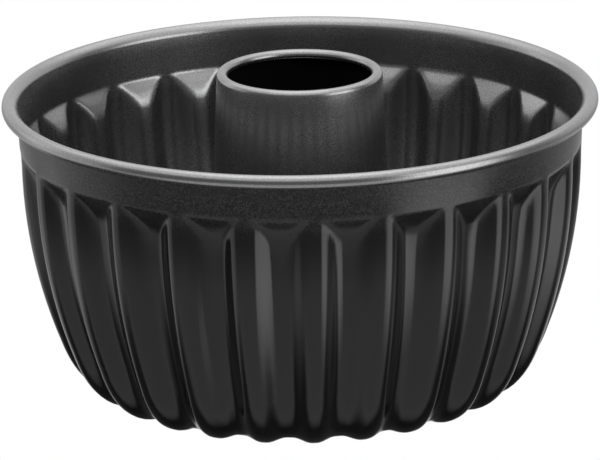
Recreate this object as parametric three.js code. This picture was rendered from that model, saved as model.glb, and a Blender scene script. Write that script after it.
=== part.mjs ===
// Fluted ring cake pan, in millimetres. +Z is up, the axis of the pan is Z, and its feet stand on z = 0.
// It is a deep-drawn fluted shell whose rim is rolled round a steel wire, and a separate tapered
// centre tube whose folded lower edge clinches the shell's turned-down inner edge.
import * as THREE from 'three';
import { mergeVertices } from 'three/addons/utils/BufferGeometryUtils.js';

// Stock and fits
const SHEET = 0.6;
const FIT_GAP = 0.3;

// Rolled rim
const RIM_RADIUS = 110;
const RIM_BEAD_RADIUS = 2.3;
const RIM_BEAD_HEIGHT = 109.5;
const RIM_CURL_END = -150;
const RIM_ROUNDING = 0.55;

// Plain band and wall: a slight cone down to the wall's widest tangent, then one long arc
const NECK_RADIUS = 104.1;
const NECK_HEIGHT = 108.3;
const WALL_RADIUS = 103.4;
const WALL_TANGENT_HEIGHT = 89.5;
const WALL_ARC_RADIUS = 193.5;
const WALL_END_HEIGHT = 21.5;

// Flutes: a flat crest land and a flat-bottomed valley, cut off by a sloping shoulder under the band.
// They stay deep almost down to the feet
const FLUTES = 26;
const FIRST_CREST = 2.46;
const CREST_LAND = 0.2;
const VALLEY_LAND = 0.16;
const FLUTE_DEPTH = 5.2;
const FOOT_FLUTE_DEPTH = 1.75;
const DEPTH_FALL_POWER = 7.8;
const CREASE_HEIGHT = 94;
const SHOULDER_FOOT_HEIGHT = 85.5;

// Rounded foot ring and the floor that rises from it to the tube
const FOOT_RADIUS = 67.2;
const FOOT_FLAT = 4;
const FOOT_TOP_HANDLE = 0.11;
const FOOT_BOTTOM_HANDLE = 0.49;
const FLUTE_FADE_RADIUS = 42;
const FLOOR_RISE = 19.4;
const FLOOR_FOOT_HANDLE = 11.5;
const FLOOR_SEAM_HANDLE = 8;

// Centre tube and its clinched seam
const TUBE_LIP_RADIUS = 30.7;
const TUBE_LIP_BEAD_RADIUS = 2.05;
const TUBE_LIP_HEIGHT = 118.1;
const TUBE_LIP_CURL_END = 250;
const SKIRT_RADIUS = 36.0;
const SKIRT_END_HEIGHT = 4.9;
const SEAM_BEND_RADIUS = 1.6;
const SEAM_BEND_HEIGHT = 7.1;
const HEM_FOLD_HEIGHT = 4.5;
const HEM_TOP_HEIGHT = 6.4;

// Facets
const STEPS_PER_FLUTE = 5;
const TUBE_FACETS = 36;
const WIRE_SIDES = 6;
const RIM_CURL_STEPS = 5;
const RIM_TOP_STEPS = 2;
const LIP_CURL_STEPS = 6;
const WALL_STEPS = 3;
const FOOT_STEPS = 4;
const FLOOR_STEPS = 3;
const BEND_STEPS = 2;
const FOLD_STEPS = 3;

const radians = THREE.MathUtils.degToRad;

/** Points of a circular arc in the (radius, height) plane, angles in degrees from outward. */
function arcPoints(radius, height, arcRadius, fromAngle, toAngle, steps) {
  const clockwise = toAngle < fromAngle;
  const arc = new THREE.EllipseCurve(
    radius, height, arcRadius, arcRadius, radians(fromAngle), radians(toAngle), clockwise);
  return arc.getPoints(steps);
}

/** Middle line of the shell's side: a cone for the plain band, then the long arc. */
function wallRadius(height) {
  if (height > WALL_TANGENT_HEIGHT) {
    const slope = (NECK_RADIUS - WALL_RADIUS) / (NECK_HEIGHT - WALL_TANGENT_HEIGHT);
    return WALL_RADIUS + slope * (height - WALL_TANGENT_HEIGHT);
  }
  const drop = WALL_TANGENT_HEIGHT - height;
  return WALL_RADIUS - WALL_ARC_RADIUS + Math.sqrt(WALL_ARC_RADIUS ** 2 - drop ** 2);
}

/** Rounded inner edge of the rim: from the top of the curl to the upper end of the plain band. */
function rimTopPoints() {
  const beadTop = RIM_BEAD_HEIGHT + RIM_BEAD_RADIUS - SHEET / 2;
  const start = new THREE.Vector2(RIM_RADIUS - RIM_BEAD_RADIUS, beadTop);
  const end = new THREE.Vector2(NECK_RADIUS, NECK_HEIGHT);
  const startHandle = new THREE.Vector2(THREE.MathUtils.lerp(start.x, end.x, RIM_ROUNDING), start.y);
  const endHandle = new THREE.Vector2(end.x, THREE.MathUtils.lerp(end.y, start.y, RIM_ROUNDING));
  const curve = new THREE.CubicBezierCurve(start, startHandle, endHandle, end);
  return curve.getPoints(RIM_TOP_STEPS).slice(1);
}

/** Rounded foot: from the lower end of the wall arc to the flat ring that the pan stands on. */
function footPoints() {
  const start = new THREE.Vector2(wallRadius(WALL_END_HEIGHT), WALL_END_HEIGHT);
  const end = new THREE.Vector2(FOOT_RADIUS + FOOT_FLAT / 2, SHEET / 2);
  const span = start.distanceTo(end);
  const lean = Math.asin((WALL_TANGENT_HEIGHT - WALL_END_HEIGHT) / WALL_ARC_RADIUS);
  const downWall = new THREE.Vector2(-Math.sin(lean), -Math.cos(lean));
  const startHandle = start.clone().addScaledVector(downWall, FOOT_TOP_HANDLE * span);
  const endHandle = end.clone().add(new THREE.Vector2(FOOT_BOTTOM_HANDLE * span, 0));
  return new THREE.CubicBezierCurve(start, startHandle, endHandle, end).getPoints(FOOT_STEPS);
}

/** Floor inside the foot ring: it rises towards the tube and runs into the seam's bend. */
function floorPoints() {
  const rise = radians(FLOOR_RISE);
  const inward = new THREE.Vector2(-Math.cos(rise), Math.sin(rise));
  const start = new THREE.Vector2(FOOT_RADIUS - FOOT_FLAT / 2, SHEET / 2);
  const bendCentre = new THREE.Vector2(SKIRT_RADIUS + SEAM_BEND_RADIUS, SEAM_BEND_HEIGHT);
  const upward = new THREE.Vector2(inward.y, -inward.x);
  const end = bendCentre.addScaledVector(upward, SEAM_BEND_RADIUS);
  const startHandle = start.clone().add(new THREE.Vector2(-FLOOR_FOOT_HANDLE, 0));
  const endHandle = end.clone().addScaledVector(inward, -FLOOR_SEAM_HANDLE);
  return new THREE.CubicBezierCurve(start, startHandle, endHandle, end).getPoints(FLOOR_STEPS);
}

/** Middle line of the shell's sheet, from the free edge of the rim curl to the end of the skirt. */
function shellMeridian() {
  const beadCentre = RIM_RADIUS - RIM_BEAD_RADIUS;
  const curl = arcPoints(
    beadCentre, RIM_BEAD_HEIGHT, RIM_BEAD_RADIUS - SHEET / 2, RIM_CURL_END, 90, RIM_CURL_STEPS);
  const sideHeights = [CREASE_HEIGHT];
  for (let step = 0; step < WALL_STEPS; step += 1) {
    sideHeights.push(THREE.MathUtils.lerp(SHOULDER_FOOT_HEIGHT, WALL_END_HEIGHT, step / WALL_STEPS));
  }
  const side = sideHeights.map((height) => new THREE.Vector2(wallRadius(height), height));
  const bend = arcPoints(
    SKIRT_RADIUS + SEAM_BEND_RADIUS, SEAM_BEND_HEIGHT, SEAM_BEND_RADIUS, 90 - FLOOR_RISE, 180, BEND_STEPS);
  const skirtEnd = new THREE.Vector2(SKIRT_RADIUS, SKIRT_END_HEIGHT);
  const wall = [...rimTopPoints(), ...side, ...footPoints()];
  return [...curl, ...wall, ...floorPoints(), ...bend.slice(1), skirtEnd];
}

/** Middle line of the tube's sheet, from the free edge of the lip curl to the end of the outer hem. */
function tubeMeridian() {
  const legOffset = SHEET + FIT_GAP;
  const lip = arcPoints(
    TUBE_LIP_RADIUS - TUBE_LIP_BEAD_RADIUS, TUBE_LIP_HEIGHT, TUBE_LIP_BEAD_RADIUS - SHEET / 2,
    TUBE_LIP_CURL_END, 0, LIP_CURL_STEPS);
  const fold = arcPoints(SKIRT_RADIUS, HEM_FOLD_HEIGHT, legOffset, 180, 360, FOLD_STEPS);
  const hemEnd = new THREE.Vector2(SKIRT_RADIUS + legOffset, HEM_TOP_HEIGHT);
  return [...lip, ...fold, hemEnd];
}

/** Left-hand normal of a meridian at one of its points, averaged over the two neighbouring spans. */
function meridianNormal(points, index) {
  const before = points[Math.max(index - 1, 0)];
  const after = points[Math.min(index + 1, points.length - 1)];
  const here = points[index];
  const spans = [here.clone().sub(before).normalize(), after.clone().sub(here).normalize()];
  const tangent = spans[0].add(spans[1]).normalize();
  return new THREE.Vector2(-tangent.y, tangent.x);
}

/** Closed section of a bent sheet: along the right face of its middle line and back along the left. */
function sheetSection(points) {
  const stations = points.map((point, index) => ({ point, normal: meridianNormal(points, index) }));
  const face = (side) => stations.map(({ point, normal }) => ({
    point: point.clone().addScaledVector(normal, side * SHEET / 2), middle: point, normal }));
  const loop = [...face(-1), ...face(1).reverse()];
  return [...loop, loop[0]];
}

/** How far down the fluted wall a point of the shell's middle line is: 0 at the shoulders, 1 at the feet. */
function wallFall(middle) {
  if (middle.x <= FOOT_RADIUS) return 1;
  return Math.max(0, (SHOULDER_FOOT_HEIGHT - middle.y) / (SHOULDER_FOOT_HEIGHT - SHEET / 2));
}

/** How far a point is pressed in along the middle of a valley. */
function fluteDepth(middle) {
  const depth = THREE.MathUtils.lerp(FLUTE_DEPTH, FOOT_FLUTE_DEPTH, wallFall(middle) ** DEPTH_FALL_POWER);
  return depth * THREE.MathUtils.smoothstep(middle.x, FLUTE_FADE_RADIUS, FOOT_RADIUS - FOOT_FLAT / 2);
}

/** Share of the depth, between 0 on a crest land and 1 along the middle of a valley. */
function fluteWave(turn) {
  const fromCrest = Math.abs(turn - Math.round(turn));
  const flank = (fromCrest - CREST_LAND / 2) / (0.5 - CREST_LAND / 2 - VALLEY_LAND / 2);
  return (1 - Math.cos(Math.PI * THREE.MathUtils.clamp(flank, 0, 1))) / 2;
}

/** Turns a section round Z; press(station, facet) moves each point along its meridian's normal. */
function turnedSheet(section, facets, firstAngle, press) {
  const geometry = new THREE.LatheGeometry(section.map(({ point }) => point), facets, firstAngle);
  const position = geometry.attributes.position;
  for (let facet = 0; facet <= facets; facet += 1) {
    const angle = firstAngle + (facet % facets) / facets * 2 * Math.PI;
    for (let j = 0; j < section.length; j += 1) {
      const { point, normal } = section[j];
      const inset = press(section[j], facet % facets);
      const radius = point.x + normal.x * inset;
      const height = point.y + normal.y * inset;
      const index = facet * section.length + j;
      position.setXYZ(index, radius * Math.sin(angle), height, radius * Math.cos(angle));
    }
  }
  geometry.deleteAttribute('normal');
  geometry.deleteAttribute('uv');
  geometry.rotateX(Math.PI / 2);
  const merged = mergeVertices(geometry);
  merged.computeVertexNormals();
  return merged;
}

function sheetMaterial(color, roughness) {
  return new THREE.MeshStandardMaterial({ color, roughness, metalness: 0.6 });
}

/** Drawn shell: rolled rim, plain band, fluted wall, rounded foot, rising floor and short inner skirt. */
function flutedShell() {
  const facets = FLUTES * STEPS_PER_FLUTE;
  const firstAngle = radians(FIRST_CREST) + Math.PI / facets;
  const shoulderSlope = FLUTE_DEPTH / (CREASE_HEIGHT - SHOULDER_FOOT_HEIGHT);
  const press = ({ middle }, facet) => {
    const valley = fluteDepth(middle) * fluteWave((facet + 0.5) / STEPS_PER_FLUTE);
    const shoulder = shoulderSlope * Math.max(0, CREASE_HEIGHT - middle.y);
    return -Math.min(valley, shoulder);
  };
  const geometry = turnedSheet(sheetSection(shellMeridian()), facets, firstAngle, press);
  const mesh = new THREE.Mesh(geometry, sheetMaterial(0x2b2b2c, 0.3));
  mesh.name = 'fluted_shell';
  return mesh;
}

/** Round wire that stiffens the rim, smaller than the inside of the faceted curl by the fit gap. */
function rimWire() {
  const halfCurlStep = radians(90 - RIM_CURL_END) / RIM_CURL_STEPS / 2;
  const wireRadius = (RIM_BEAD_RADIUS - SHEET) * Math.cos(halfCurlStep) - FIT_GAP;
  const geometry = new THREE.TorusGeometry(
    RIM_RADIUS - RIM_BEAD_RADIUS, wireRadius, WIRE_SIDES, FLUTES * STEPS_PER_FLUTE);
  const mesh = new THREE.Mesh(geometry, new THREE.MeshStandardMaterial({
    color: 0x9b9da0, roughness: 0.4, metalness: 1 }));
  mesh.name = 'rim_wire';
  mesh.position.z = RIM_BEAD_HEIGHT;
  return mesh;
}

/** Tapered centre tube with an inward-curled lip and a folded lower hem round the shell's skirt. */
function centreTube() {
  const geometry = turnedSheet(sheetSection(tubeMeridian()), TUBE_FACETS, 0, () => 0);
  const mesh = new THREE.Mesh(geometry, sheetMaterial(0x4a4b4d, 0.45));
  mesh.name = 'centre_tube';
  return mesh;
}

const pan = new THREE.Group();
pan.add(flutedShell(), rimWire(), centreTube());

export default pan;
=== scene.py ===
"""Looks of a pressed steel ring cake pan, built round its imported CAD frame. Lengths are in metres."""

import math

import bpy
from bpy.props import FloatProperty, FloatVectorProperty, IntProperty, PointerProperty
from mathutils import Matrix, Vector


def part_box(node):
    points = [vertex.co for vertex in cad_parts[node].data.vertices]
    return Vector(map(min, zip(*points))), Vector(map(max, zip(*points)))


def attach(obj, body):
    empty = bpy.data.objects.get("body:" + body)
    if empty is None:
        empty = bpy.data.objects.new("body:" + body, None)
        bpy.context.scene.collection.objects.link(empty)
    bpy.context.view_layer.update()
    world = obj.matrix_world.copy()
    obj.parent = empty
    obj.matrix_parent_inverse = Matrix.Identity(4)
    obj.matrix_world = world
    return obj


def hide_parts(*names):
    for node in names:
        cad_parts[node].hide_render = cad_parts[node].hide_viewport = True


bl_info = {
    "name": "Fluted Ring Pan",
    "version": (1, 0, 0),
    "blender": (4, 5, 0),
    "location": "3D View > Sidebar > Ring Pan",
    "description": "Builds a fluted steel ring cake pan from its shell, rim wire and centre tube",
    "category": "Add Mesh",
}

MM = 0.001

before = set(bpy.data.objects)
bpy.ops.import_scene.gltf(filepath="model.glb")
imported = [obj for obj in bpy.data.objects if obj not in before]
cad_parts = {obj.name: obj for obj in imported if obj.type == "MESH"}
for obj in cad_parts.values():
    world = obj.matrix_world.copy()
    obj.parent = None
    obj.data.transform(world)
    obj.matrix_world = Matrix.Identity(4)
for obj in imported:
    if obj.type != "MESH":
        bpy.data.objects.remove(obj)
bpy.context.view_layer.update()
SHELL_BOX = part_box("fluted_shell")
TUBE_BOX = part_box("centre_tube")
WIRE_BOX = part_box("rim_wire")


def widest_radius(node):
    """Largest distance of a CAD node from the pan's axis."""
    return max(math.hypot(v.co.x, v.co.y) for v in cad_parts[node].data.vertices)


RIM_RADIUS = widest_radius("fluted_shell")
BEAD_HEIGHT = (WIRE_BOX[0].z + WIRE_BOX[1].z) / 2
FOOT_PLANE = SHELL_BOX[0].z
TUBE_TOP = TUBE_BOX[1].z
HEM_RADIUS = widest_radius("centre_tube")

# Rolled rim and lip: angles in degrees from outward
CURL_END = -150
LIP_CURL_END = 200
NECK_DROP = 1.2 * MM
NECK_FLARE = 0.7 * MM
RIM_ROUNDING = 0.45
WIRE_CLEARANCE = 0.35 * MM

# Wall, feet and floor. A handle is how far a Bezier curve holds its end's direction: the foot's handles
# are shares of the curve's span, and the floor's are lengths
WALL_END = FOOT_PLANE + 21.5 * MM
FOOT_FLAT = 4 * MM
FOOT_TOP_HANDLE = 0.11
FOOT_BOTTOM_HANDLE = 0.49
FLOOR_FOOT_HANDLE = 11.5 * MM
FLOOR_SEAM_HANDLE = 8 * MM
FLOOR_RISE = math.radians(19.4)

# Seam where the tube's hem is folded round the shell's skirt
HEM_REACH = 1.2 * MM
SEAM_RADIUS = HEM_RADIUS - HEM_REACH
SEAM_BEND = 1.6 * MM
SEAM_BEND_HEIGHT = FOOT_PLANE + 7.1 * MM
SKIRT_END = FOOT_PLANE + 4.9 * MM
HEM_FOLD_HEIGHT = FOOT_PLANE + 4.5 * MM
HEM_TOP = FOOT_PLANE + 6.4 * MM

# Flutes: powers shape how the depth and the crest's flat change from the shoulder to the feet
FLUTE_FADE_RADIUS = 42 * MM
DEPTH_FALL_POWER = 7.8
LAND_FALL_POWER = 2.7
RIDGE_SHARPNESS = 4.0
LEAST_PRESS = 1e-7

# Fineness of the meshes. Fine rows reach a little past the shoulders at both ends
FACETS_PER_FLUTE = 18
TUBE_FACETS = 192
SHOULDER_MARGIN = 1.5 * MM
CURL_STEPS = 18
NECK_STEPS = 8
BAND_STEPS = 3
SHOULDER_STEPS = 22
WALL_STEPS = 12
FOOT_STEPS = 14
FLOOR_STEPS = 9
SEAM_BEND_STEPS = 6
LIP_STEPS = 20
TUBE_STEPS = 24
FOLD_STEPS = 10
CAP_STEPS = 4

# Grain of the finishes, in cells to the metre
COAT_FLAKES = 2700
COAT_CLOUDS = 45
MIST_FLAKES = 2400
MIST_CLOUDS = 60
DUST_GRAIN = 1500
SMEAR_CLOUDS = 25
ORANGE_PEEL = 330
DRAWN_LINES = 6000
WIRE_STAINS = 80
PAPER_CLOUDS = 3

# Mist of the inside coat's flakes over the plain band
MIST_STRENGTH = 0.15
MIST_DRIFT = 6 * MM
MIST_REACH = 12 * MM
MIST_TOP_DROP = 2 * MM

# Studio: directions that the panels and the back of the room lie in
RIGHT_PANEL = (0.86, -0.5, 0)
LEFT_PANEL = (-0.97, 0.25, 0)
BACK = (0, 1, 0)

# Studio: where each part of the room fades in or out, by the cosine between the ray and its panel, the
# back, up or down
RIGHT_EDGE = (0.9, 0.98)
LEFT_EDGE = (0.85, 0.97)
PANEL_FOOT = (-0.75, -0.4)
PANEL_TOP = (0.4, 0.6)
CEILING_EDGE = (0.4, 0.8)
TABLE_EDGE = (0.3, 0.55)
SHADE_EDGE = (0.35, 0.65)
SHADE_FRONT = (-0.35, -0.02)
BEHIND_EDGE = (0.1, 0.6)
BEHIND_HORIZON = (-0.2, 0.15)

# Studio: how bright each part of the room is
WALL_LIGHT = 0.2
TABLE_LIGHT = 0.55
CEILING_LIGHT = 1.1
RIGHT_LIGHT = 2.3
LEFT_LIGHT = 0.6
BEHIND_LOW_LIGHT = 0.3
BEHIND_HIGH_GAIN = 0.4
SHADE_DEPTH = 0.93
WHITE = (1.0, 1.0, 1.0, 1.0)

# Studio: floor and camera
FLOOR_HALF_WIDTH = 6.0
FLOOR_DROP = 0.2 * MM
VIEW_REACH = 20


# Settings that a user would change


class ShellSettings(bpy.types.PropertyGroup):
    """Sizes of the drawn shell."""

    sheet: FloatProperty(
        name="Sheet", description="Thickness of the drawn steel", default=0.6 * MM, unit="LENGTH")
    bead_radius: FloatProperty(
        name="Rim Bead Radius", description="Outside radius of the rolled rim",
        default=2.55 * MM, unit="LENGTH")
    bead_height: FloatProperty(
        name="Rim Bead Height", description="Height of the middle of the rolled rim",
        default=BEAD_HEIGHT - 0.25 * MM, unit="LENGTH")
    wall_radius: FloatProperty(
        name="Wall Radius", description="Middle line of the wall at its widest tangent",
        default=RIM_RADIUS - 6.6 * MM, unit="LENGTH")
    wall_tangent: FloatProperty(
        name="Wall Tangent", description="Height at which the wall's long arc starts",
        default=BEAD_HEIGHT - 20 * MM, unit="LENGTH")
    wall_arc: FloatProperty(
        name="Wall Arc", description="Radius of the wall's long arc in section",
        default=193.5 * MM, unit="LENGTH")
    foot_radius: FloatProperty(
        name="Foot Radius", description="Radius of the circle that the lobes stand on",
        default=67.2 * MM, unit="LENGTH")
    flutes: IntProperty(name="Flutes", description="Number of flutes round the wall", default=26, min=3)
    first_crest: FloatProperty(
        name="First Crest", description="Angle of the first crest from the front",
        default=math.radians(2.46), subtype="ANGLE")
    crest_land: FloatProperty(
        name="Crest Land", description="Flat share of each flute along the top of its crest", default=0.1,
        subtype="FACTOR", min=0, max=0.9)
    foot_crest_land: FloatProperty(
        name="Foot Crest Land", description="Flat share of each flute's crest at the feet", default=0.08,
        subtype="FACTOR", min=0, max=0.9)
    valley_land: FloatProperty(
        name="Valley Land", description="Flat share of each flute along its valley", default=0.12,
        subtype="FACTOR", min=0, max=0.9)
    wall_depth: FloatProperty(
        name="Wall Flute Depth", description="Depth of the flutes under the shoulders",
        default=5.2 * MM, unit="LENGTH")
    foot_depth: FloatProperty(
        name="Foot Flute Depth", description="Depth of the flutes at the feet",
        default=1.75 * MM, unit="LENGTH")
    crease: FloatProperty(
        name="Crease", description="Height of the crease under the plain band",
        default=BEAD_HEIGHT - 15.5 * MM, unit="LENGTH")
    shoulder: FloatProperty(
        name="Shoulder", description="Height of the sloping shoulder at the top of each valley",
        default=8.5 * MM, unit="LENGTH")


class TubeSettings(bpy.types.PropertyGroup):
    """Sizes of the centre tube."""

    lip_radius: FloatProperty(
        name="Lip Radius", description="Outside radius at the curled lip", default=30.7 * MM, unit="LENGTH")
    lip_bead: FloatProperty(
        name="Lip Bead", description="Outside radius of the lip's curl", default=2.05 * MM, unit="LENGTH")
    fit_gap: FloatProperty(
        name="Fit Gap", description="Clearance in the clinched seam", default=0.3 * MM, unit="LENGTH")


class FinishSettings(bpy.types.PropertyGroup):
    """Colours of the coatings."""

    lacquer: FloatVectorProperty(
        name="Lacquer", description="Gloss lacquer outside", default=(0.006, 0.006, 0.0064), subtype="COLOR")
    overspray: FloatVectorProperty(
        name="Overspray", description="Flakes of the inside coat on the plain band",
        default=(0.3, 0.3, 0.303), subtype="COLOR")
    coat: FloatVectorProperty(
        name="Coat", description="Non-stick coat inside", default=(0.26, 0.26, 0.262), subtype="COLOR")
    flake: FloatVectorProperty(
        name="Flake", description="Bright flakes in the non-stick coat", default=(0.34, 0.34, 0.343),
        subtype="COLOR")
    wire: FloatVectorProperty(
        name="Wire", description="Drawn steel wire", default=(0.55, 0.55, 0.56), subtype="COLOR")


class StudioSettings(bpy.types.PropertyGroup):
    """Camera and light."""

    distance: FloatProperty(
        name="Distance", description="Camera to the middle of the rim", default=1.8, unit="LENGTH")
    elevation: FloatProperty(
        name="Elevation", description="Angle of the camera over the rim", default=math.radians(15.84),
        subtype="ANGLE")
    roll: FloatProperty(
        name="Roll", description="Turn of the camera about its view", default=math.radians(-0.937),
        subtype="ANGLE")
    lens: FloatProperty(name="Lens", description="Focal length in millimetres", default=292.57)
    aim_height: FloatProperty(
        name="Aim Height", description="Height that the view is centred on", default=0.05827, unit="LENGTH")
    aim_side: FloatProperty(
        name="Aim Side", description="Sideways place that the view is centred on",
        default=-0.00075, unit="LENGTH")
    floor: FloatVectorProperty(
        name="Floor", description="Colour of the floor", default=(0.9, 0.9, 0.9), subtype="COLOR")


# Node building


class Value:
    """One output socket of a node tree. Arithmetic on it adds Math nodes."""

    def __init__(self, graph, socket):
        self.graph = graph
        self.socket = socket

    def output(self, name):
        """Another output of the same node."""
        return Value(self.graph, self.socket.node.outputs[name])

    def math(self, operation, *operands):
        inputs = dict(enumerate((self, *operands)))
        return self.graph.node("ShaderNodeMath", {"operation": operation}, inputs)

    def __add__(self, other):
        return self.math("ADD", other)

    def __sub__(self, other):
        return self.math("SUBTRACT", other)

    def __mul__(self, other):
        return self.math("MULTIPLY", other)

    def __truediv__(self, other):
        return self.math("DIVIDE", other)

    def __pow__(self, other):
        return self.math("POWER", other)

    def __gt__(self, other):
        return self.math("GREATER_THAN", other)

    def __rsub__(self, other):
        return self.graph.node("ShaderNodeMath", {"operation": "SUBTRACT"}, {0: other, 1: self})

    __radd__ = __add__
    __rmul__ = __mul__

    def clamped(self):
        return self.graph.node("ShaderNodeClamp", {}, {"Value": self})

    def ramp(self, low, high):
        """0 below low, 1 above high, smooth between."""
        return self.graph.node(
            "ShaderNodeMapRange", {"interpolation_type": "SMOOTHSTEP"},
            {"Value": self, "From Min": low, "From Max": high})


class Graph:
    """Adds nodes to one shader or geometry tree."""

    def __init__(self, tree):
        self.tree = tree

    def node(self, kind, settings=None, inputs=None):
        """A new node: its settings first, then its sockets' values or links. Gives its first output."""
        made = self.tree.nodes.new(kind)
        for key, value in (settings or {}).items():
            setattr(made, key, value)
        for key, value in (inputs or {}).items():
            socket = made.inputs[key]
            if isinstance(value, Value):
                self.tree.links.new(value.socket, socket)
            else:
                socket.default_value = value
        return Value(self, next(o for o in made.outputs if o.enabled))

    def noise(self, position, scale, detail):
        return self.node("ShaderNodeTexNoise", {}, {
            "Vector": position, "Scale": scale, "Detail": detail, "Roughness": 0.5})

    def blend(self, factor, low, high):
        """Colour that goes from low to high with the factor."""
        mix = self.tree.nodes.new("ShaderNodeMix")
        mix.data_type = "RGBA"
        sockets = {"Factor_Float": factor, "A_Color": low, "B_Color": high}
        for socket in mix.inputs:
            if socket.identifier in sockets:
                value = sockets[socket.identifier]
                if isinstance(value, Value):
                    self.tree.links.new(value.socket, socket)
                else:
                    socket.default_value = value
        result = next(o for o in mix.outputs if o.identifier == "Result_Color")
        return Value(self, result)

    def attribute(self, name):
        """A trait stored on the points of the section or the rail."""
        return self.node("GeometryNodeInputNamedAttribute", {"data_type": "FLOAT"}, {"Name": name})


def opaque(color):
    """A colour with full alpha."""
    return (*color, 1.0)


# Materials


def surface(name, **constants):
    """New material with one Principled shader. Gives the material, its graph and the shader."""
    material = bpy.data.materials.new(name)
    material.use_nodes = True
    tree = material.node_tree
    shader = next(n for n in tree.nodes if n.type == "BSDF_PRINCIPLED")
    for key, value in constants.items():
        shader.inputs[key.replace("_", " ")].default_value = value
    return material, Graph(tree), shader


def object_position(graph):
    """Where a point of the surface is, in the object's own space."""
    return graph.node("ShaderNodeTexCoord").output("Object")


def feed(graph, shader, **sockets):
    """Links values into the shader's sockets, named with underscores for spaces."""
    for key, value in sockets.items():
        graph.tree.links.new(value.socket, shader.inputs[key.replace("_", " ")])


def bump(graph, height, strength, distance, under=None):
    """Normal of a surface raised by the height, on top of the normal under it if there is one."""
    inputs = {"Height": height, "Strength": strength, "Distance": distance}
    if under is not None:
        inputs["Normal"] = under
    return graph.node("ShaderNodeBump", {}, inputs)


def axis_distance(graph, position):
    """How far a point is from the pan's axis."""
    level = graph.node("ShaderNodeVectorMath", {"operation": "MULTIPLY"}, {0: position, 1: (1, 1, 0)})
    return graph.node("ShaderNodeVectorMath", {"operation": "LENGTH"}, {0: level}).output("Value")


def flakes(graph, position, scale):
    """A random level from 0 to 1 for each small cell of the coat."""
    cells = graph.node("ShaderNodeTexVoronoi", {}, {"Vector": position, "Scale": scale}).output("Color")
    return graph.node("ShaderNodeSeparateXYZ", {}, {"Vector": cells}).output("X")


def lacquer_finish(finish, shell):
    """Gloss black lacquer with a mist of the inside coat's flakes over the plain band."""
    material, graph, shader = surface("black_lacquer", IOR=1.4)
    position = object_position(graph)
    height = graph.node("ShaderNodeSeparateXYZ", {}, {"Vector": position}).output("Z")
    drift = graph.noise(position, MIST_CLOUDS, detail=3) - 0.5
    outside = axis_distance(graph, position) > HEM_RADIUS
    mist_foot = shell.crease - MIST_REACH
    mist = (height + drift * MIST_DRIFT).ramp(mist_foot, BEAD_HEIGHT - MIST_TOP_DROP) * outside
    speck = MIST_STRENGTH * flakes(graph, position, MIST_FLAKES) ** 2 * mist
    dust = graph.noise(position, DUST_GRAIN, detail=1).ramp(0.7, 0.85)
    color = graph.blend(
        (speck + dust * 0.01).clamped(), opaque(finish.lacquer), opaque(finish.overspray))
    smear = graph.noise(position, SMEAR_CLOUDS, detail=4)
    roughness = 0.07 + 0.05 * smear + 0.22 * mist + 0.05 * dust
    waves = graph.noise(position, ORANGE_PEEL, detail=1)
    peel = bump(graph, waves, strength=0.05, distance=0.2 * MM)
    normal = bump(graph, speck, strength=0.25, distance=0.05 * MM, under=peel)
    feed(graph, shader, Base_Color=color, Roughness=roughness, Metallic=speck, Normal=normal)
    return material


def coat_finish(finish):
    """Dark grey metallic non-stick coat with fine bright flakes."""
    material, graph, shader = surface("nonstick_coat", IOR=1.5)
    position = object_position(graph)
    flake = flakes(graph, position, COAT_FLAKES)
    cloud = graph.noise(position, COAT_CLOUDS, detail=3)
    color = graph.blend(
        (flake * 0.8 + (cloud - 0.5) * 0.3).clamped(), opaque(finish.coat), opaque(finish.flake))
    roughness = 0.24 + 0.08 * cloud - 0.04 * flake
    metallic = 0.94 + 0.04 * flake
    normal = bump(graph, flake, strength=0.2, distance=0.03 * MM)
    feed(graph, shader, Base_Color=color, Roughness=roughness, Metallic=metallic, Normal=normal)
    return material


def wire_finish(finish):
    """Drawn steel wire with fine lines round the ring."""
    material, graph, shader = surface("drawn_wire", Metallic=1.0)
    position = object_position(graph)
    height = graph.node("ShaderNodeSeparateXYZ", {}, {"Vector": position}).output("Z")
    lines = graph.node(
        "ShaderNodeCombineXYZ", {}, {"X": axis_distance(graph, position), "Y": height, "Z": 0.0})
    drawn = graph.noise(lines, DRAWN_LINES, detail=2)
    stain = graph.noise(position, WIRE_STAINS, detail=3)
    stained = [level * 0.5 for level in finish.wire]
    color = graph.blend(stain * 0.5, opaque(finish.wire), opaque(stained))
    normal = bump(graph, drawn, strength=0.3, distance=0.02 * MM)
    feed(graph, shader, Base_Color=color, Roughness=0.28 + 0.2 * stain, Normal=normal)
    return material


# Sheet sections: middle lines in the (radius, height) plane, walked with the outside on the left


def arc(radius, height, arc_radius, start, end, steps):
    """Points of a circular arc, angles in degrees from outward."""
    points = []
    for step in range(steps + 1):
        angle = math.radians(start + (end - start) * step / steps)
        points.append(Vector((radius + arc_radius * math.cos(angle), height + arc_radius * math.sin(angle))))
    return points


def bezier(p0, p1, p2, p3, steps):
    """Points of a cubic Bezier curve after its first point."""
    points = []
    for step in range(1, steps + 1):
        t = step / steps
        s = 1 - t
        points.append(s**3 * p0 + 3 * s * s * t * p1 + 3 * s * t * t * p2 + t**3 * p3)
    return points


def between(low, high, steps):
    """Evenly spaced values after low, up to high."""
    return [low + (high - low) * step / steps for step in range(1, steps + 1)]


def held(share):
    """A share kept between 0 and 1."""
    return min(1.0, max(0.0, share))


def wall_radius(shell, height):
    """Middle line of the side: a slight cone for the plain band, then the long arc."""
    if height > shell.wall_tangent:
        slope = NECK_FLARE / (BEAD_HEIGHT - NECK_DROP - shell.wall_tangent)
        return shell.wall_radius + slope * (height - shell.wall_tangent)
    drop = shell.wall_tangent - height
    return shell.wall_radius - shell.wall_arc + math.sqrt(shell.wall_arc**2 - drop**2)


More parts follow.
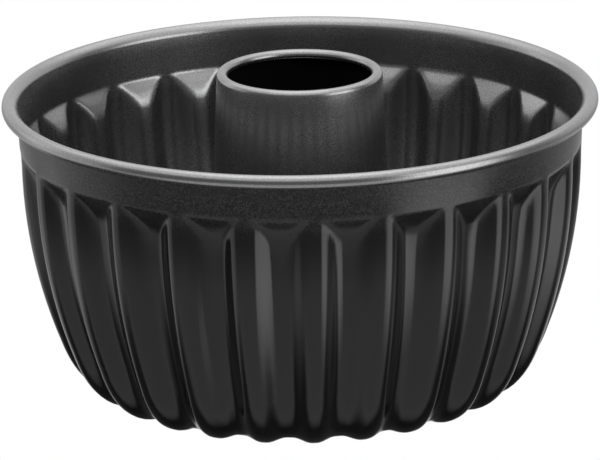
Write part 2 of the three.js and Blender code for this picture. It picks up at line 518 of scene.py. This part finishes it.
def shell_meridian(shell):
    """From the free edge of the rim's curl, over the rim and down the wall, to the skirt's end."""
    bead_centre = RIM_RADIUS - shell.bead_radius
    curl_radius = shell.bead_radius - shell.sheet / 2
    points = arc(bead_centre, shell.bead_height, curl_radius, CURL_END, 90, CURL_STEPS)
    top = points[-1]
    neck_height = BEAD_HEIGHT - NECK_DROP
    neck = Vector((wall_radius(shell, neck_height), neck_height))
    reach = RIM_ROUNDING * (top - neck)
    points += bezier(top, top - Vector((reach.x, 0)), neck + Vector((0, reach.y)), neck, NECK_STEPS)
    fine_top = shell.crease + SHOULDER_MARGIN
    fine_foot = shell.crease - shell.shoulder - SHOULDER_MARGIN
    heights = between(neck_height, fine_top, BAND_STEPS)
    heights += between(fine_top, fine_foot, SHOULDER_STEPS)
    heights += between(fine_foot, WALL_END, WALL_STEPS)
    points += [Vector((wall_radius(shell, height), height)) for height in heights]
    lean = math.asin((shell.wall_tangent - WALL_END) / shell.wall_arc)
    start = points[-1]
    foot = Vector((shell.foot_radius + FOOT_FLAT / 2, FOOT_PLANE + shell.sheet / 2))
    span = (foot - start).length
    downward = Vector((-math.sin(lean), -math.cos(lean)))
    points += bezier(start, start + downward * (FOOT_TOP_HANDLE * span),
                     foot + Vector((FOOT_BOTTOM_HANDLE * span, 0)), foot, FOOT_STEPS)
    inner_foot = foot - Vector((FOOT_FLAT, 0))
    points.append(inner_foot)
    bend_start = 90 - math.degrees(FLOOR_RISE)
    bend = arc(SEAM_RADIUS + SEAM_BEND, SEAM_BEND_HEIGHT, SEAM_BEND, bend_start, 180, SEAM_BEND_STEPS)
    inward = Vector((-math.cos(FLOOR_RISE), math.sin(FLOOR_RISE)))
    points += bezier(inner_foot, inner_foot - Vector((FLOOR_FOOT_HANDLE, 0)),
                     bend[0] - inward * FLOOR_SEAM_HANDLE, bend[0], FLOOR_STEPS)
    points += bend[1:]
    points.append(Vector((SEAM_RADIUS, SKIRT_END)))
    return points


def tube_meridian(tube, sheet):
    """From the free edge of the lip curl, over the lip and down the tube, to the end of the outer hem."""
    lip_centre = tube.lip_radius - tube.lip_bead
    lip_height = TUBE_TOP - tube.lip_bead
    points = arc(lip_centre, lip_height, tube.lip_bead - sheet / 2, LIP_CURL_END, 0, LIP_STEPS)
    fold = arc(SEAM_RADIUS, HEM_FOLD_HEIGHT, sheet + tube.fit_gap, 180, 360, FOLD_STEPS)
    points += [points[-1].lerp(fold[0], share) for share in between(0, 1, TUBE_STEPS)[:-1]]
    points += fold
    points.append(Vector((fold[-1].x, HEM_TOP)))
    return points


def sheet_section(name, points, sheet, traits):
    """Closed section of a bent sheet as a loop of edges. Each point carries its place on the middle
    line, its left-hand normal, its side from -1 to 1, and the traits of that place."""
    stations = []
    last = len(points) - 1
    for index, here in enumerate(points):
        before = (here - points[max(index - 1, 0)]).normalized()
        after = (points[min(index + 1, last)] - here).normalized()
        tangent = (before + after).normalized()
        stations.append((here, tangent))
    loop = [(here, tangent, -1.0) for here, tangent in stations]
    loop += cap(stations[-1], 1, sheet)
    loop += [(here, tangent, 1.0) for here, tangent in reversed(stations)]
    loop += cap(stations[0], -1, sheet)
    mesh = bpy.data.meshes.new(name)
    count = len(loop)
    mesh.from_pydata([(here.x, 0, here.y) for here, _, _ in loop],
                     [(i, (i + 1) % count) for i in range(count)], [])
    columns = {
        "middle_radius": [here.x for here, _, _ in loop],
        "middle_height": [here.y for here, _, _ in loop],
        "normal_radius": [-tangent.y for _, tangent, _ in loop],
        "normal_height": [tangent.x for _, tangent, _ in loop],
        "side": [side for _, _, side in loop],
    }
    for trait, rule in traits.items():
        columns[trait] = [rule(here) for here, _, _ in loop]
    for column, values in columns.items():
        mesh.attributes.new(column, "FLOAT", "POINT").data.foreach_set("value", values)
    return mesh


def cap(station, direction, sheet):
    """Rounded end of a sheet, walked from its right side to its left, or back at the other end."""
    here, tangent = station
    rounded = []
    for step in range(1, CAP_STEPS):
        angle = math.pi * (step / CAP_STEPS - 0.5)
        outward = tangent * (direction * math.cos(angle) * sheet / 2)
        rounded.append((here + outward, tangent, direction * math.sin(angle)))
    return rounded


# Geometry Nodes


def named_inputs(tree, inputs):
    """Adds the inputs to a tree and gives their values by name."""
    kinds = {int: "NodeSocketInt", float: "NodeSocketFloat"}
    tree.interface.new_socket("Section", in_out="INPUT", socket_type="NodeSocketGeometry")
    for name, default in inputs.items():
        socket = tree.interface.new_socket(
            name, in_out="INPUT", socket_type=kinds.get(type(default), "NodeSocketMaterial"))
        socket.default_value = default
    tree.interface.new_socket("Piece", in_out="OUTPUT", socket_type="NodeSocketGeometry")
    source = tree.nodes.new("NodeGroupInput")
    graph = Graph(tree)
    return graph, {socket.name: Value(graph, socket) for socket in source.outputs if socket.name}


def end_tree(graph, piece):
    """Links the finished piece to the tree's output."""
    target = graph.tree.nodes.new("NodeGroupOutput")
    graph.tree.links.new(piece.socket, target.inputs[0])


def flute_press(graph, given):
    """How deep the sheet is pressed in: rounded valleys cut off by the sloping shoulder."""
    turns = graph.attribute("turn") * given["Flutes"]
    from_crest = (turns - turns.math("ROUND")).math("ABSOLUTE")
    fall = graph.attribute("fall")
    land_change = given["Foot Crest Land"] - given["Crest Land"]
    crest_land = given["Crest Land"] + land_change * fall**LAND_FALL_POWER
    half_crest = crest_land * 0.5
    half_valley = given["Valley Land"] * 0.5
    across = ((from_crest - half_crest) / (0.5 - half_crest - half_valley)).clamped()
    wave = 0.5 - 0.5 * (across * math.pi).math("COSINE")
    depth_change = given["Foot Depth"] - given["Wall Depth"]
    depth = given["Wall Depth"] + depth_change * fall**DEPTH_FALL_POWER
    valley = depth * wave * graph.attribute("fade")
    below = graph.attribute("below_crease")
    rounded = (below * below + given["Crease Round"] ** 2).math("SQRT")
    shoulder = (below + rounded) * 0.5 * given["Shoulder Slope"]
    least = valley.math("MINIMUM", shoulder)
    most = valley.math("MAXIMUM", shoulder).math("MAXIMUM", LEAST_PRESS)
    return least / (1 + (least / most) ** RIDGE_SHARPNESS) ** (1 / RIDGE_SHARPNESS)


def turned_sheet_tree(outside, inside):
    """Turns a sheet section round Z and presses flutes into it along the sheet's normal."""
    tree = bpy.data.node_groups.new("turned_sheet", "GeometryNodeTree")
    graph, given = named_inputs(tree, {
        "Facets": 108, "Sheet": 0.6 * MM, "First Crest": 0.0, "Flutes": 26, "Crest Land": 0.2,
        "Foot Crest Land": 0.2, "Valley Land": 0.1, "Wall Depth": 0.0, "Foot Depth": 0.0,
        "Shoulder Slope": 0.6, "Crease Round": 0.5 * MM, "Outside Finish": outside, "Inside Finish": inside})
    circle = graph.node(
        "GeometryNodeCurvePrimitiveCircle", {"mode": "RADIUS"}, {"Resolution": given["Facets"]})
    index = graph.node("GeometryNodeInputIndex")
    rail = graph.node(
        "GeometryNodeStoreNamedAttribute", {"data_type": "FLOAT", "domain": "POINT"},
        {"Geometry": circle, "Name": "turn", "Value": index / given["Facets"]})
    section = graph.node("GeometryNodeMeshToCurve", {}, {"Mesh": given["Section"]})
    swept = graph.node("GeometryNodeCurveToMesh", {}, {"Curve": rail, "Profile Curve": section})
    offset = graph.attribute("side") * given["Sheet"] * 0.5 - flute_press(graph, given)
    radius = graph.attribute("middle_radius") + graph.attribute("normal_radius") * offset
    height = graph.attribute("middle_height") + graph.attribute("normal_height") * offset
    angle = given["First Crest"] + graph.attribute("turn") * math.tau
    place = graph.node("ShaderNodeCombineXYZ", {}, {
        "X": radius * angle.math("SINE"), "Y": radius * angle.math("COSINE") * -1, "Z": height})
    placed = graph.node("GeometryNodeSetPosition", {}, {"Geometry": swept, "Position": place})
    smooth = graph.node("GeometryNodeSetShadeSmooth", {}, {"Geometry": placed, "Shade Smooth": True})
    real = graph.node("GeometryNodeRealizeInstances", {}, {"Geometry": smooth})
    lined = graph.node("GeometryNodeSetMaterial", {}, {"Geometry": real, "Material": given["Inside Finish"]})
    end_tree(graph, graph.node("GeometryNodeSetMaterial", {}, {
        "Geometry": lined, "Selection": graph.attribute("side") > 0, "Material": given["Outside Finish"]}))
    return tree


def wire_ring_tree(finish):
    """Sweeps a round section along a circle at the height of the wire."""
    tree = bpy.data.node_groups.new("wire_ring", "GeometryNodeTree")
    graph, given = named_inputs(tree, {
        "Facets": 256, "Sides": 20, "Ring Radius": 0.1, "Wire Radius": 0.001, "Height": 0.1,
        "Finish": finish})
    rail = graph.node("GeometryNodeCurvePrimitiveCircle", {"mode": "RADIUS"}, {
        "Resolution": given["Facets"], "Radius": given["Ring Radius"]})
    round_section = graph.node("GeometryNodeCurvePrimitiveCircle", {"mode": "RADIUS"}, {
        "Resolution": given["Sides"], "Radius": given["Wire Radius"]})
    swept = graph.node("GeometryNodeCurveToMesh", {}, {"Curve": rail, "Profile Curve": round_section})
    lift = graph.node("ShaderNodeCombineXYZ", {}, {"Z": given["Height"]})
    raised = graph.node("GeometryNodeSetPosition", {}, {"Geometry": swept, "Offset": lift})
    smooth = graph.node("GeometryNodeSetShadeSmooth", {}, {"Geometry": raised, "Shade Smooth": True})
    real = graph.node("GeometryNodeRealizeInstances", {}, {"Geometry": smooth})
    end_tree(graph, graph.node(
        "GeometryNodeSetMaterial", {}, {"Geometry": real, "Material": given["Finish"]}))
    return tree


def grown_piece(name, section, tree, values):
    """Runs a tree on a section mesh and gives the result as a plain mesh object."""
    seed = bpy.data.objects.new(name + "_section", section)
    bpy.context.scene.collection.objects.link(seed)
    modifier = seed.modifiers.new("grow", "NODES")
    modifier.node_group = tree
    for item in tree.interface.items_tree:
        if item.item_type == "SOCKET" and item.in_out == "INPUT" and item.name in values:
            modifier[item.identifier] = values[item.name]
    depsgraph = bpy.context.evaluated_depsgraph_get()
    mesh = bpy.data.meshes.new_from_object(seed.evaluated_get(depsgraph), depsgraph=depsgraph)
    mesh.name = name
    seed.modifiers.remove(modifier)
    bpy.data.objects.remove(seed)
    bpy.data.meshes.remove(section)
    if not mesh.polygons:
        raise RuntimeError(name + ": its tree gave no faces")
    face_outwards(mesh)
    piece = bpy.data.objects.new(name, mesh)
    bpy.context.scene.collection.objects.link(piece)
    return piece


def face_outwards(mesh):
    """Turns the faces round if the closed mesh encloses a negative volume."""
    mesh.calc_loop_triangles()
    points = mesh.vertices
    volume = 0.0
    for triangle in mesh.loop_triangles:
        a, b, c = (points[i].co for i in triangle.vertices)
        volume += a.dot(b.cross(c))
    if volume < 0:
        mesh.flip_normals()


def settle(piece, node):
    """Rides the piece on the pan's body in place of its CAD node."""
    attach(piece, "root")
    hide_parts(node)


# Operators


class RINGPAN_OT_shell(bpy.types.Operator):
    """Builds the fluted shell with its rolled rim"""

    bl_idname = "ringpan.shell"
    bl_label = "Fluted Shell"

    def execute(self, context):
        shell = context.scene.ringpan_shell
        finish = context.scene.ringpan_finish
        shoulder_foot = shell.crease - shell.shoulder
        inner_foot = shell.foot_radius - FOOT_FLAT / 2

        def fall(here):
            """0 at the shoulder's foot, 1 at the feet and on the floor."""
            if here.x <= shell.foot_radius:
                return 1.0
            return held((shoulder_foot - here.y) / (shoulder_foot - FOOT_PLANE))

        def fade(here):
            """Brings the flutes on the floor smoothly to nothing before the seam."""
            share = held((here.x - FLUTE_FADE_RADIUS) / (inner_foot - FLUTE_FADE_RADIUS))
            return share * share * (3 - 2 * share)

        def below_crease(here):
            """How far under the crease a place is. The floor never meets the shoulder."""
            return shell.crease - here.y if here.x > inner_foot else shell.crease

        section = sheet_section(
            "shell_section", shell_meridian(shell), shell.sheet,
            {"fall": fall, "fade": fade, "below_crease": below_crease})
        tree = turned_sheet_tree(lacquer_finish(finish, shell), coat_finish(finish))
        piece = grown_piece("fluted_shell_sheet", section, tree, {
            "Facets": shell.flutes * FACETS_PER_FLUTE, "Sheet": shell.sheet, "Flutes": shell.flutes,
            "First Crest": shell.first_crest, "Crest Land": shell.crest_land,
            "Foot Crest Land": shell.foot_crest_land, "Valley Land": shell.valley_land,
            "Wall Depth": shell.wall_depth, "Foot Depth": shell.foot_depth,
            "Shoulder Slope": shell.wall_depth / shell.shoulder})
        settle(piece, "fluted_shell")
        return {"FINISHED"}


class RINGPAN_OT_rim_wire(bpy.types.Operator):
    """Builds the wire inside the rolled rim"""

    bl_idname = "ringpan.rim_wire"
    bl_label = "Rim Wire"

    def execute(self, context):
        shell = context.scene.ringpan_shell
        tree = wire_ring_tree(wire_finish(context.scene.ringpan_finish))
        piece = grown_piece("rim_wire_ring", bpy.data.meshes.new("wire_seed"), tree, {
            "Ring Radius": RIM_RADIUS - shell.bead_radius, "Height": shell.bead_height,
            "Wire Radius": shell.bead_radius - shell.sheet - WIRE_CLEARANCE})
        settle(piece, "rim_wire")
        return {"FINISHED"}


class RINGPAN_OT_centre_tube(bpy.types.Operator):
    """Builds the tapered centre tube with its curled lip and folded hem"""

    bl_idname = "ringpan.centre_tube"
    bl_label = "Centre Tube"

    def execute(self, context):
        shell = context.scene.ringpan_shell
        tube = context.scene.ringpan_tube
        coat = bpy.data.materials["nonstick_coat"]
        lacquer = bpy.data.materials["black_lacquer"]
        section = sheet_section("tube_section", tube_meridian(tube, shell.sheet), shell.sheet, {})
        tree = turned_sheet_tree(coat, lacquer)
        piece = grown_piece("centre_tube_sheet", section, tree, {
            "Facets": TUBE_FACETS, "Sheet": shell.sheet})
        settle(piece, "centre_tube")
        return {"FINISHED"}


class RINGPAN_OT_studio(bpy.types.Operator):
    """Builds the floor, the backdrop, the overhead light and the camera"""

    bl_idname = "ringpan.studio"
    bl_label = "Studio"

    def execute(self, context):
        studio = context.scene.ringpan_studio
        context.scene.view_settings.view_transform = "Standard"
        add_floor(studio)
        add_backdrop(context.scene)
        add_softbox("overhead", place=(0, 0.1, 1.4), target=(0, 0, 0.1), size=0.9, power=2.4)
        add_camera(context.scene, studio)
        return {"FINISHED"}


# Studio


def add_floor(studio):
    """Large pale sheet under the pan. The camera doesn't see it, but it lights the pan from below."""
    half = FLOOR_HALF_WIDTH
    corners = [(-half, -half, 0), (half, -half, 0), (half, half, 0), (-half, half, 0)]
    mesh = bpy.data.meshes.new("floor")
    mesh.from_pydata(corners, [], [(0, 1, 2, 3)])
    material, graph, shader = surface("floor_paper", Roughness=0.9)
    tone = graph.noise(object_position(graph), PAPER_CLOUDS, detail=2) * 0.3
    dimmer = [level * 0.97 for level in studio.floor]
    feed(graph, shader, Base_Color=graph.blend(tone, opaque(studio.floor), opaque(dimmer)))
    mesh.materials.append(material)
    floor = bpy.data.objects.new("floor", mesh)
    bpy.context.scene.collection.objects.link(floor)
    floor.location.z = -FLOOR_DROP
    floor.visible_glossy = False
    floor.visible_camera = False


def add_backdrop(scene):
    """White to the camera. The pan sees a room with a bright ceiling and side panels, a lit table in
    front, and shade underneath."""
    world = bpy.data.worlds.new("studio")
    scene.world = world
    world.use_nodes = True
    tree = world.node_tree
    graph = Graph(tree)
    backdrop = next(n for n in tree.nodes if n.type == "BACKGROUND")
    direction = graph.node("ShaderNodeTexCoord").output("Generated")
    up = graph.node("ShaderNodeSeparateXYZ", {}, {"Vector": direction}).output("Z")
    level = graph.node("ShaderNodeVectorMath", {"operation": "MULTIPLY"}, {0: direction, 1: (1, 1, 0)})
    bearing = graph.node("ShaderNodeVectorMath", {"operation": "NORMALIZE"}, {0: level})
    panel = up.ramp(*PANEL_FOOT) * (1 - up.ramp(*PANEL_TOP))
    right = facing(graph, bearing, RIGHT_PANEL).ramp(*RIGHT_EDGE) * panel
    left = facing(graph, bearing, LEFT_PANEL).ramp(*LEFT_EDGE) * panel
    back = facing(graph, direction, BACK)
    ceiling = up.ramp(*CEILING_EDGE)
    shade = (up * -1).ramp(*SHADE_EDGE) * back.ramp(*SHADE_FRONT)
    table = (up * -1).ramp(*TABLE_EDGE)
    behind = back.ramp(*BEHIND_EDGE) * (
        BEHIND_LOW_LIGHT + BEHIND_HIGH_GAIN * up.ramp(*BEHIND_HORIZON))
    room = WALL_LIGHT + TABLE_LIGHT * table + behind + CEILING_LIGHT * ceiling
    room = room + RIGHT_LIGHT * right + LEFT_LIGHT * left
    room = room * (1 - SHADE_DEPTH * shade)
    seen = graph.node("ShaderNodeLightPath").output("Is Camera Ray")
    color = graph.blend(seen, room, WHITE)
    tree.links.new(color.socket, backdrop.inputs["Color"])


def facing(graph, direction, towards):
    """Cosine between the ray's direction and a fixed one."""
    return graph.node(
        "ShaderNodeVectorMath", {"operation": "DOT_PRODUCT"}, {0: direction, 1: towards}).output("Value")


def add_softbox(name, place, target, size, power):
    """Square area light that faces its target."""
    light = bpy.data.lights.new(name, "AREA")
    light.size = size
    light.energy = power
    lamp = bpy.data.objects.new(name, light)
    bpy.context.scene.collection.objects.link(lamp)
    lamp.location = place
    lamp.rotation_euler = (Vector(target) - Vector(place)).to_track_quat("-Z", "Y").to_euler()


def add_camera(scene, studio):
    """Camera on a sphere round the middle of the rim, turned to the aim point and rolled about its view."""
    rim_centre = Vector((0, 0, BEAD_HEIGHT))
    back = Vector((0, -math.cos(studio.elevation), math.sin(studio.elevation)))
    place = rim_centre + back * studio.distance
    aim = Vector((studio.aim_side, 0, studio.aim_height)) - place
    turn = aim.to_track_quat("-Z", "Y").to_matrix() @ Matrix.Rotation(studio.roll, 3, "Z")
    camera = bpy.data.cameras.new("camera")
    camera.lens = studio.lens
    camera.clip_end = VIEW_REACH
    holder = bpy.data.objects.new("camera", camera)
    scene.collection.objects.link(holder)
    holder.matrix_world = Matrix.Translation(place) @ turn.to_4x4()
    scene.camera = holder


class RINGPAN_PT_panel(bpy.types.Panel):
    """Lists the pan's sizes and its build steps"""

    bl_idname = "RINGPAN_PT_panel"
    bl_label = "Ring Pan"
    bl_space_type = "VIEW_3D"
    bl_region_type = "UI"
    bl_category = "Ring Pan"

    def draw(self, context):
        for name in SETTINGS:
            group = getattr(context.scene, name)
            box = self.layout.box()
            for key in group.bl_rna.properties.keys():
                if key not in ("rna_type", "name"):
                    box.prop(group, key)
        for operator in BUILD_STEPS:
            self.layout.operator(operator.bl_idname)


SETTINGS = {
    "ringpan_shell": ShellSettings,
    "ringpan_tube": TubeSettings,
    "ringpan_finish": FinishSettings,
    "ringpan_studio": StudioSettings,
}
BUILD_STEPS = (RINGPAN_OT_shell, RINGPAN_OT_rim_wire, RINGPAN_OT_centre_tube, RINGPAN_OT_studio)
CLASSES = (*SETTINGS.values(), *BUILD_STEPS, RINGPAN_PT_panel)


def register():
    for cls in CLASSES:
        bpy.utils.register_class(cls)
    for name, settings in SETTINGS.items():
        setattr(bpy.types.Scene, name, PointerProperty(type=settings))


def unregister():
    for name in SETTINGS:
        delattr(bpy.types.Scene, name)
    for cls in reversed(CLASSES):
        bpy.utils.unregister_class(cls)


def main():
    register()
    bpy.ops.ringpan.shell()
    bpy.ops.ringpan.rim_wire()
    bpy.ops.ringpan.centre_tube()
    bpy.ops.ringpan.studio()


if __name__ == "__main__":
    main()
